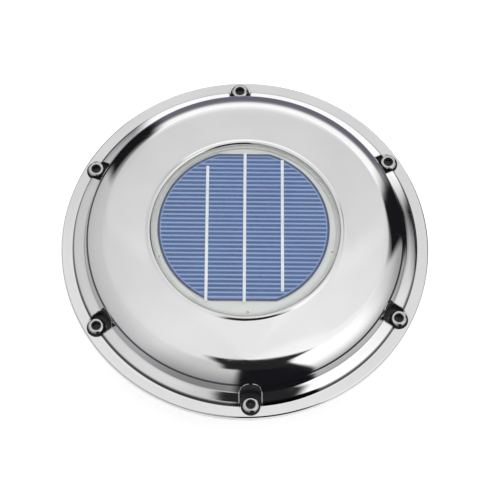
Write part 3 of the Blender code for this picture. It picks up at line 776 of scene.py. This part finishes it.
def makeWindow():
    low, high, radius = lensLow.z, lensHigh.z, window["lensRadius"]
    outline = [(0, low), (radius - 0.15, low), (radius, low + 0.15), (radius, high - 0.45)]
    outline += curveTo(outline[-1], (radius, high - 0.15), (radius - 0.15, high), (radius - 0.5, high), 5)
    outline += [(radius - 8, high), (0, high)]
    sheet = spun("clear_window", outline, steps["disc"])
    handOver(sheet, "clearSheet", ["window_lens"])
    sealLow, sealHigh = boxOf("window_seal")
    inner, outer = window["sealInner"], window["sealOuter"]
    ledge, lip = window["sealLedge"], window["sealLip"]
    seal = [(inner, sealLow.z), (outer, sealLow.z), (outer, sealHigh.z), (lip, sealHigh.z), (lip, ledge)]
    # a thin bead stands up between the clear sheet and the cover's lip
    bead, beadTop = window["bead"], high - 0.2
    seal += [(bead[1], ledge), (bead[1], beadTop), (bead[0], beadTop), (bead[0], ledge), (inner, ledge)]
    handOver(spun("window_gasket", roundCorners(seal, 0.18), steps["disc"]), "whiteSilicone", ["window_seal"])
    backLow, backHigh = boxOf("cell_backing")
    edge = window["backingRadius"]
    slab = [(0, backLow.z), (edge, backLow.z), (edge, backHigh.z - 0.3), (edge - 0.3, backHigh.z),
            (0, backHigh.z)]
    backing = spun("cell_bed", slab, steps["disc"])
    holes = [ring(spot, window["leadHole"], 24) for spot in window["leadHoles"]]
    carve(backing, holes, 20, 40)
    handOver(backing, "whiteAbs", ["cell_backing"], slot="white_backing")


def inCell(point):
    turn = Matrix.Rotation(math.radians(cellShape["turn"]), 2)
    return tuple(turn @ Vector(point) + Vector(cellShape["centre"]))


def makeCell():
    shape = cellShape
    low, high = boxOf("solar_cell")
    first = math.asin(shape["bottom"] / shape["radius"])
    last = math.asin(shape["top"] / shape["radius"])
    outline = []
    arc = 64
    for side in (1, -1):
        for k in range(arc + 1):
            t = first + (last - first) * (k if side > 0 else arc - k) / arc
            outline.append(inCell((side * shape["radius"] * math.cos(t), shape["radius"] * math.sin(t))))
    cell = raised("blue_cell", [outline], low.z, high.z)
    handOver(cell, "cellSilicon", ["solar_cell"])
    for name, middle, start, end in shape["ribbons"]:
        low, high = boxOf(f"cell_ribbon_{name}")
        x, half = middle + shape["ribbonShift"], shape["ribbonWidth"] / 2
        strip = [inCell(p) for p in ((x - half, start), (x + half, start), (x + half, end), (x - half, end))]
        bm = bmesh.new()
        addRaised(bm, strip, low.z, high.z)
        soften(bm, 0.05)
        # solder along the strip, in low pads
        pads = 11
        for k in range(pads):
            y = start + (end - start) * (k + 0.5) / pads
            spot = inCell((x, y))
            pad = bmesh.ops.create_uvsphere(bm, u_segments=16, v_segments=8, radius=0.5)
            bmesh.ops.scale(bm, vec=(1.3, 2.4, 0.16), verts=pad["verts"])
            bmesh.ops.translate(bm, vec=(*spot, high.z), verts=pad["verts"])
        handOver(asObject(f"tinned_strip_{name}", bm), "tinnedCopper", [f"cell_ribbon_{name}"])


def makeWindowDetails():
    top = boxOf("cell_backing")[1].z
    wide, deep = window["tabHalf"]
    for number, (x, y) in enumerate(window["tabs"], 1):
        bm = bmesh.new()
        corners = [(x - wide, y - deep), (x + wide, y - deep), (x + wide, y + deep), (x - wide, y + deep)]
        addRaised(bm, corners, top - 0.2, top + 0.18)
        soften(bm, 0.08)
        handOver(asObject(f"copper_tab_{number}", bm), "copperWire")
    eyelet = spun("lead_eyelet", band(0.35, 0.8, top - 0.2, top + 0.22, 0.15), 32, window["eyelet"])
    handOver(eyelet, "bronzeBush")


makeWindow()
makeCell()
makeWindowDetails()
print("window made")


base = {
    "duct": 58.5, "ductWall": 1.8, "plate": 86.0, "plateLow": 2.3, "plateTop": 5.5,
    "dam": 70.0, "damTop": 14.0, "wall": 1.6, "footRadius": 4.6, "footTop": 10.9,
    "roofScrews": 77.0, "roofHole": 2.2, "armScrews": 63.0, "armHole": 1.5, "armAngles": [90, 210, 330],
    "footArm": 3.2, "footArmEnds": (2.7, 5.1), "insertHole": 3.5, "insertLow": 4.1,
    "gasket": (59.0, 84.0), "gasketHole": 2.5,
}


def makeBase():
    shape = base
    low = boxOf("base_plate")[0].z
    bore, duct, plate, wall = shape["duct"] - shape["ductWall"], shape["duct"], shape["plate"], shape["wall"]
    dam, top = shape["dam"], shape["plateTop"]
    outline = [(bore, low), (duct, low), (duct, shape["plateLow"]), (plate, shape["plateLow"])]
    outline += [(plate, top + 2), (plate - wall, top + 2), (plate - wall, top), (dam, top)]
    outline += [(dam, shape["damTop"]), (dam - wall, shape["damTop"]), (dam - wall, top), (bore, top)]
    made = spun("moulded_base", roundCorners(outline, 0.5), steps["disc"])
    angles = cover["screwAngles"]
    arms = [bar(a, plate - 4, cover["screwRadius"], shape["footArm"]) for a in angles]
    carve(made, arms, *shape["footArmEnds"], "UNION")
    foot = shape["footRadius"]
    bm = bmesh.new()
    feet = band(0, foot, 0.0, shape["footTop"], 0.4)
    for angle in angles:
        addSpun(bm, feet, steps["small"], spotAt(angle, cover["screwRadius"]))
    combine(made, asObject("feet", bm), "UNION")
    inserts = ringsAt(angles, cover["screwRadius"], shape["insertHole"], 32)
    carve(made, inserts, shape["insertLow"], 20)
    roofSpots = [spotAt(60 * k, shape["roofScrews"]) for k in range(6)]
    holes = [ring(spot, shape["roofHole"], 32) for spot in roofSpots]
    holes += ringsAt(shape["armAngles"], shape["armScrews"], shape["armHole"])
    carve(made, holes, -1, 12)
    handOver(made, "whiteAbs", ["base_plate"])
    gasketHigh = boxOf("deck_gasket")[1].z
    gasket = spun("foam_gasket", band(*shape["gasket"], 0.0, gasketHigh, 0.6), steps["disc"])
    cuts = [ring(spot, shape["gasketHole"], 32) for spot in roofSpots]
    carve(gasket, cuts, -1, 4)
    handOver(gasket, "blackRubber", ["deck_gasket"])


bracket = {
    "bore": 3.6, "inside": 16.4, "outside": 18.0, "low": -8.2, "floor": -6.0, "rise": 0.3,
    "armHalf": 3.4, "ribHalf": 0.8, "ribEnd": 44.0, "lug": 4.6, "lugHole": 1.7,
    "motorScrews": (-8.0, 8.0), "motorHole": 1.35,
}


def makeBracket():
    shape = bracket
    seat = base["plateTop"] + shape["rise"]
    inside, outside, bore = shape["inside"], shape["outside"], shape["bore"]
    cup = [(bore, shape["low"]), (outside, shape["low"]), (outside, seat + 2.2), (inside, seat + 2.2)]
    cup += [(inside, shape["floor"]), (bore, shape["floor"])]
    made = spun("motor_cradle", roundCorners(cup, 0.5), steps["motor"])
    angles, reach = base["armAngles"], base["armScrews"]
    arms = [bar(a, outside - 0.8, reach - 1, shape["armHalf"]) for a in angles]
    carve(made, arms, seat + 0.2, seat + 2.0, "UNION")
    ribs = [bar(a, outside - 0.6, shape["ribEnd"], shape["ribHalf"]) for a in angles]
    carve(made, ribs, seat - 2.2, seat + 0.9, "UNION")
    lugs = ringsAt(angles, reach, shape["lug"], steps["small"])
    carve(made, lugs, seat, seat + 2.4, "UNION")
    holes = ringsAt(angles, reach, shape["lugHole"])
    carve(made, holes, 0, 12)
    holes = [ring((x, 0), shape["motorHole"], 24) for x in shape["motorScrews"]]
    carve(made, holes, -12, -4.5)
    handOver(made, "blackAbs", ["motor_bracket"])


makeBase()
makeBracket()
print("base made")


fan = {
    "top": -11.0, "bottom": -22.5, "bore": 1.08, "hub": 11.5, "hubInside": 10.2, "boss": 3.0,
    "blades": 5, "radius": 53.5, "root": 10.9, "thickness": 1.3, "rings": 15, "chords": 11,
    # in degrees: how far a blade sweeps back, its half width at the root, and what it loses by the tip
    "sweep": 14, "width": 24, "taper": 8,
    "pitch": 4.6, "camber": 1.1,
}


def makeFan():
    shape = fan
    top, bottom, bore, hub = shape["top"], shape["bottom"], shape["bore"], shape["hub"]
    outline = [(bore, top - 0.3), (9.6, top - 0.3), (11.0, top - 1.2), (hub, top - 2.6), (hub, bottom)]
    outline += [(shape["hubInside"], bottom), (shape["hubInside"], top - 2.6), (shape["boss"], top - 2.0)]
    outline += [(shape["boss"], bottom), (bore, bottom)]
    made = spun("fan_wheel", roundCorners(outline, 0.35), steps["motor"])
    bm = bmesh.new()
    middle = (top + bottom) / 2 - 0.3
    rings, chords = shape["rings"], shape["chords"]
    for blade in range(shape["blades"]):
        grid = bmesh.ops.create_grid(bm, x_segments=rings - 1, y_segments=chords - 1, size=1.0)
        for vert in grid["verts"]:
            share, across = (vert.co.x + 1) / 2, vert.co.y
            radius = shape["root"] + (shape["radius"] - shape["root"]) * share
            spread = (shape["width"] - shape["taper"] * share) * across
            turn = math.radians(360 / shape["blades"] * blade + shape["sweep"] * share + spread)
            height = middle - shape["pitch"] * across + shape["camber"] * (1 - across * across)
            vert.co = (radius * math.cos(turn), radius * math.sin(turn), height)
    blades = asObject("fan_blades", bm)
    walls = blades.modifiers.new("thickness", "SOLIDIFY")
    walls.thickness = shape["thickness"]
    walls.offset = 0.0
    settle(blades)
    combine(made, blades, "UNION")
    handOver(made, "blackAbs", ["fan_impeller"], body="rotor", sharp=40)


motor = {
    "low": -5.7, "high": 13.3, "radius": 16.0, "sheet": 0.9, "bearing": 3.1,
    "capInside": 14.7, "capBore": 2.9, "terminals": (-9.0, 9.0), "slotHalf": (0.6, 1.5),
}


def makeMotor():
    shape = motor
    low, high, radius, sheet = shape["low"], shape["high"], shape["radius"], shape["sheet"]
    can = [(shape["bearing"], low), (radius, low), (radius, high - 1.3), (radius - sheet, high - 1.3)]
    can += [(radius - sheet, low + sheet), (shape["bearing"], low + sheet)]
    shell = spun("motor_shell", roundCorners(can, 0.5), steps["motor"])
    holes = [ring((x, 0), bracket["motorHole"], 24) for x in bracket["motorScrews"]]
    carve(shell, holes, low - 2, low + 2)
    handOver(shell, "zincSteel", ["motor_can"])
    inside, bore = shape["capInside"], shape["capBore"]
    cap = [(0, high), (radius, high), (radius, high - 1.0), (inside, high - 1.0), (inside, high - 2.8)]
    cap += [(bore, high - 2.8), (bore, high - 0.9), (0, high - 0.9)]
    lid = spun("motor_cap", roundCorners(cap, 0.3), steps["motor"])
    wide, deep = shape["slotHalf"]
    corners = ((-wide, -deep), (wide, -deep), (wide, deep), (-wide, deep))
    slots = [[(x + u, v) for u, v in corners] for x in shape["terminals"]]
    carve(lid, slots, 5, 20)
    handOver(lid, "whiteAbs", ["motor_end_cap"])


makeFan()
makeMotor()
print("fan and motor made")


screen = {
    "seat": -32.0, "ring": ((56.2, 3.6), (56.2, -0.3), (61.0, -0.3), (61.0, -1.8), (51.5, -1.8), (51.5, 0.0),
                            (54.2, 0.0), (54.2, 3.6)),
    "radius": 53.9, "pitch": 2.3, "wire": 0.21, "wave": 0.2,
}


def makeScreen():
    shape = screen
    outline = [(r, shape["seat"] + z) for r, z in shape["ring"]]
    holder = spun("screen_ring", roundCorners(outline, 0.4), steps["disc"])
    handOver(holder, "whiteAbs", ["screen_frame"])
    netLow, netHigh = boxOf("insect_screen")
    level = (netLow.z + netHigh.z) / 2
    paths = []
    count = int(shape["radius"] / shape["pitch"])
    for across in (0, 1):
        for k in range(-count, count + 1):
            offset = k * shape["pitch"]
            reach = math.sqrt(shape["radius"] ** 2 - offset ** 2) - 0.2
            path = []
            crossings = int(reach / shape["pitch"] + 0.5)
            for j in range(-crossings, crossings + 1):
                along = max(-reach, min(reach, j * shape["pitch"]))
                lift = shape["wave"] * (1 if (j + k + across) % 2 else -1)
                path.append((offset, along, level + lift) if across else (along, offset, level + lift))
            if len(path) > 1:
                paths.append(path)
    woven = tubes("woven_screen", paths, shape["wire"], 1)
    handOver(woven, "screenFibre", ["insect_screen"], slot="screen_mesh", sharp=80)


makeScreen()
print("screen made")


# CAD nodes that keep their shape and get a better finish
kept = {
    "brassInsert": [f"threaded_insert_{n}" for n in range(1, 7)] + ["fan_collar"],
    "zincSteel": [f"{kind}_{n}" for kind in ("bracket_screw", "tray_nut") for n in (1, 2, 3)]
                 + ["motor_screw_1", "motor_screw_2"],
    "tinnedCopper": ["terminal_positive", "terminal_negative"],
    "bronzeBush": ["bearing_lower", "bearing_upper"],
    "ferrite": ["magnet_left", "magnet_right"],
    "screwSteel": ["motor_shaft"],
    "laminatedSteel": ["armature_core"],
    "copperWire": ["winding_1", "winding_2", "winding_3", "commutator"],
    "whiteAbs": ["panel_tray"],
    "redPvc": ["lead_red"],
    "blackPvc": ["lead_black"],
}

for finish, names in kept.items():
    for name in names:
        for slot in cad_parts[name].material_slots:
            slot.material = finishes[finish]
print("kept nodes finished:", sum(len(names) for names in kept.values()))


def makeFloor():
    bm = bmesh.new()
    bmesh.ops.create_grid(bm, x_segments=1, y_segments=1, size=4.0)
    bmesh.ops.translate(bm, vec=(0, 0, cadBounds[0].z - 0.0002), verts=bm.verts)
    mesh = bpy.data.meshes.new("pale_floor")
    bm.to_mesh(mesh)
    bm.free()
    floor = placed("pale_floor", mesh)
    made, tree, shader = startMaterial("paleFloor", IOR=1.3, Emission_Strength=0.6)
    setColour(tree, shader, (0.90, 0.90, 0.90), (0.88, 0.88, 0.88), 3)
    setGloss(tree, shader, 0.7, 0.85, 8)
    shader.inputs["Emission Color"].default_value = (1.0, 1.0, 1.0, 1.0)
    mesh.materials.append(made)
    # polished metal shows the tent's own lower half instead of this sheet
    floor.visible_glossy = False


studio = {
    "turn": 3.36,
    # a light tent by direction: azimuth from, to, how soft each side is, then brightness at elevations
    "panels": [
        (-400, 400, 1, 1, [(-60, 1.0), (-48, 0.12), (-14, 0.10), (-9, 0.69), (25, 0.78), (45, 0.84),
            (65, 1.0), (80, 1.15)]),
        (-135, -60, 18, 1, [(-60, 1.0), (-48, 0.10), (-14, 0.08), (-9, 0.4), (25, 0.55), (45, 0.66),
            (60, 0.8), (75, 0.9)]),
        (-52, 60, 2, 4, [(-60, 1.1), (-48, 0.08), (-14, 0.06), (-8, 0.66), (5, 0.79), (15, 0.92),
            (25, 1.09), (35, 1.3), (50, 1.6), (75, 1.5)]),
        (0, 60, 18, 4, [(-60, 1.0), (-48, 0.06), (-14, 0.05), (-8, 0.46), (15, 0.52), (25, 0.62),
            (35, 0.78), (45, 0.95), (60, 1.25), (75, 1.35)]),
        (23, 47, 3, 4, [(-60, 1.0), (-48, 0.012), (38, 0.012), (48, 0.95), (60, 1.1), (75, 1.2)]),
        (50, 123, 5, 3, [(-60, 1.0), (-48, 0.17), (8, 0.2), (14, 0.4), (20, 1.4), (34, 1.5), (42, 0.95),
            (65, 1.02), (85, 1.2)]),
        (113, 133, 3, 3, [(-60, 1.0), (-48, 0.012), (24, 0.012), (36, 0.8), (50, 0.95), (75, 1.2)]),
        (-93, -52, 3, 2, [(-60, 1.1), (-48, 0.012), (75, 0.012), (90, 0.012)]),
    ],
    "dark": 0.012, "start": 0.68, "paper": 1.08,
    # the overhead dark patch: from, to and softness across and along the view
    "overAcross": (-0.11, 0.25, 0.03, 0.03), "overAlong": (-0.42, -0.015, 0.02, 0.015),
}


def makeStudio():
    world = bpy.data.worlds.new("light_tent")
    scene.world = world
    world.use_nodes = True
    tree = world.node_tree
    tree.nodes.clear()
    direction = addNode(tree, "ShaderNodeTexCoord").outputs["Generated"]
    turned = addNode(tree, "ShaderNodeVectorRotate",
                     {"Vector": direction, "Angle": math.radians(studio["turn"])}, rotation_type="Z_AXIS")
    x, y, z = axesOf(tree, turned.outputs[0])
    azimuth = times(tree, calc(tree, "ARCTAN2", y, x), 180 / math.pi)
    elevation = times(tree, calc(tree, "ARCSINE", z), 180 / math.pi)
    share = calc(tree, "DIVIDE", calc(tree, "ADD", elevation, 90.0), 180.0)
    total = (studio["start"],) * 3
    for start, end, softStart, softEnd, stops in studio["panels"]:
        ramp = tree.nodes.new("ShaderNodeValToRGB")
        tree.links.new(share, ramp.inputs[0])
        points = ramp.color_ramp.elements
        for i, (height, brightness) in enumerate(stops):
            spot = (height + 90) / 180
            point = points[i] if i < 2 else points.new(spot)
            point.position = spot
            grey = brightness / 2
            bluish = 1.25 if brightness < 0.3 else 1.0
            point.color = (grey, grey * 0.99, grey * bluish, 1.0)
        mask = between(tree, azimuth, start, end, softStart, softEnd)
        total = mixColour(tree, mask, total, ramp.outputs[0])
    # the camera and its stand, overhead on the near side
    across, along = between(tree, x, *studio["overAcross"]), between(tree, y, *studio["overAlong"])
    over = times(tree, times(tree, across, along), calc(tree, "GREATER_THAN", z, 0.0))
    total = mixColour(tree, over, total, (studio["dark"],) * 3)
    tent = addNode(tree, "ShaderNodeBackground", {"Color": total, "Strength": 2.0})
    paper = addNode(tree, "ShaderNodeBackground", {"Color": (1.0, 1.0, 1.0), "Strength": studio["paper"]})
    both = splitRays(tree, "Is Camera Ray", tent.outputs[0], paper.outputs[0])
    addNode(tree, "ShaderNodeOutputWorld", {"Surface": both})


camera = {
    "distance": 1156.0, "elevation": 65.77, "azimuth": 86.64, "roll": -1.66,
    "aim": 10.2, "right": 2.99, "up": -2.43, "lens": 141.7, "sensor": 36.0,
}


def makeCamera():
    shape = camera
    turn, tilt, roll = (math.radians(shape[name]) for name in ("azimuth", "elevation", "roll"))
    forward = Vector((math.cos(turn) * math.cos(tilt), math.sin(turn) * math.cos(tilt), -math.sin(tilt)))
    level = forward.cross(Vector((0, 0, 1))).normalized()
    above = level.cross(forward)
    place = Vector((0, 0, shape["aim"])) - forward * shape["distance"]
    place += level * shape["right"] + above * shape["up"]
    right = level * math.cos(roll) - above * math.sin(roll)
    up = level * math.sin(roll) + above * math.cos(roll)
    data = bpy.data.cameras.new("view")
    data.lens, data.sensor_width = shape["lens"], shape["sensor"]
    data.clip_start, data.clip_end = 0.05, 20.0
    made = placed("view", data)
    turned = Matrix((right, up, -forward)).transposed().to_4x4()
    made.matrix_world = Matrix.Translation(place * mm) @ turned
    scene.camera = made


makeFloor()
makeStudio()
makeCamera()
scene.view_settings.view_transform = "Standard"
print("stage set")
